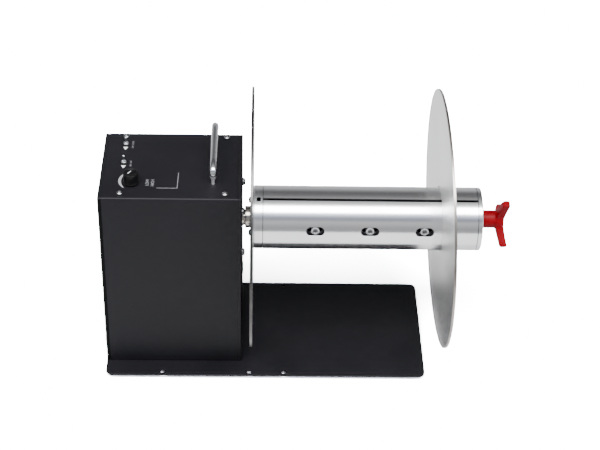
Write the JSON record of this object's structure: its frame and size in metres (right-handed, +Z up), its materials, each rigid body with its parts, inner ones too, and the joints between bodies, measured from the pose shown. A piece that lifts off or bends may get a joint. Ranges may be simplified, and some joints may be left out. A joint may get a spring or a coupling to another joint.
{
  "type": "label rewinder",
  "caption": "Bench-top label rewinder: a geared motor in a folded steel housing turns an expanding mandrel between two flange discs; a three-armed knob locks the core.",
  "frame": {"origin": "centre of the bounding box, on the surface that the feet stand on", "axes": "+X along the spindle from the housing to the lock knob, +Y away from the viewer of the front face, +Z up"},
  "size_m": [0.4764, 0.306, 0.3352],
  "materials": {
    "black_paint": "fine satin powder coat",
    "rubber": "matt",
    "chrome": "polished",
    "zinc": "bright zinc plate",
    "aluminium": "turned, bright",
    "satin_aluminium": "satin sheet",
    "motor_steel": "satin",
    "steel": "turned",
    "red_plastic": "satin",
    "black_plastic": "satin",
    "circuit_board": "lacquered"
  },
  "bodies": {
    "frame": {"base_plate": "black_paint", "rubber_foot_1": "rubber", "rubber_foot_2": "rubber", "rubber_foot_3": "rubber", "rubber_foot_4": "rubber", "chassis": "black_paint", "housing_cover": "black_paint", "cover_screw_1": "zinc", "cover_screw_2": "zinc", "cover_screw_3": "zinc", "cover_screw_4": "zinc", "carry_handle": "chrome", "handle_nut_1": "zinc", "handle_nut_2": "zinc", "toggle_1_body": "zinc", "toggle_1_nut": "chrome", "toggle_2_body": "zinc", "toggle_2_nut": "chrome", "torque_pot": "zinc", "gearbox": "motor_steel", "motor": "motor_steel", "bearing_nose": "steel", "motor_screw_1": "zinc", "motor_screw_2": "zinc", "motor_screw_3": "zinc", "motor_screw_4": "zinc", "control_board": "circuit_board", "power_inlet": "black_plastic", "hole_plug": "black_plastic"},
    "toggle_1": {"toggle_1_lever": "chrome"},
    "toggle_2": {"toggle_2_lever": "chrome"},
    "torque_control": {"torque_dial": "black_plastic"},
    "spindle": {"spindle_shaft": "steel", "shaft_collar": "steel", "inner_flange_disc": "satin_aluminium", "flange_screw_1": "zinc", "flange_screw_2": "zinc", "flange_screw_3": "zinc", "rear_hub": "aluminium", "hub_set_screw": "zinc", "mandrel_end_ring": "aluminium"},
    "shell_1": {"mandrel_shell_1": "aluminium"},
    "shell_2": {"mandrel_shell_2": "aluminium"},
    "shell_3": {"mandrel_shell_3": "aluminium"},
    "wedge": {"wedge_core": "aluminium", "guide_screw_1_1": "zinc", "guide_screw_1_2": "zinc", "guide_screw_1_3": "zinc", "guide_screw_2_1": "zinc", "guide_screw_2_2": "zinc", "guide_screw_2_3": "zinc", "guide_screw_3_1": "zinc", "guide_screw_3_2": "zinc", "guide_screw_3_3": "zinc", "draw_key": "steel"},
    "lock": {"draw_screw": "steel", "lock_knob": "red_plastic"},
    "outer_flange": {"outer_flange_disc": "satin_aluminium"}
  },
  "joints": [
    {"name": "spindle_spin", "type": "hinge", "parent": "frame", "child": "spindle", "pos_m": [-0.0612, -0.00003, 0.1822], "axis": [1, 0, 0], "continuous": true},
    {"name": "lock_turn", "type": "hinge", "parent": "spindle", "child": "lock", "pos_m": [0.2058, -0.00003, 0.1822], "axis": [-1, 0, 0], "range_deg": [0, 720]},
    {"name": "wedge_draw", "type": "slide", "parent": "spindle", "child": "wedge", "axis": [1, 0, 0], "range_m": [0, 0.003]},
    {"name": "shell_1_expand", "type": "slide", "parent": "spindle", "child": "shell_1", "axis": [0, -0.9833, 0.1822], "range_m": [0, 0.0008]},
    {"name": "shell_2_expand", "type": "slide", "parent": "spindle", "child": "shell_2", "axis": [0, 0.6494, 0.7604], "range_m": [0, 0.0008]},
    {"name": "shell_3_expand", "type": "slide", "parent": "spindle", "child": "shell_3", "axis": [0, 0.3338, -0.9426], "range_m": [0, 0.0008]},
    {"name": "outer_flange_slide", "type": "slide", "parent": "spindle", "child": "outer_flange", "axis": [1, 0, 0], "range_m": [-0.205, 0.1]},
    {"name": "torque_turn", "type": "hinge", "parent": "frame", "child": "torque_control", "pos_m": [-0.2002, -0.03043, 0.2518], "axis": [0, 0, 1], "range_deg": [-150, 150]},
    {"name": "toggle_1_tilt", "type": "hinge", "parent": "frame", "child": "toggle_1", "pos_m": [-0.2112, 0.00877, 0.2518], "axis": [1, 0, 0], "range_deg": [-13, 13]},
    {"name": "toggle_2_tilt", "type": "hinge", "parent": "frame", "child": "toggle_2", "pos_m": [-0.2112, 0.04577, 0.2518], "axis": [1, 0, 0], "range_deg": [-13, 13]}
  ],
  "couplings": [
    {"joint": "lock_turn", "follows": "wedge_draw", "rad_per_m": 4188.7},
    {"joint": "shell_1_expand", "follows": "wedge_draw", "ratio": 0.26666},
    {"joint": "shell_2_expand", "follows": "wedge_draw", "ratio": 0.26666},
    {"joint": "shell_3_expand", "follows": "wedge_draw", "ratio": 0.26666}
  ]
}
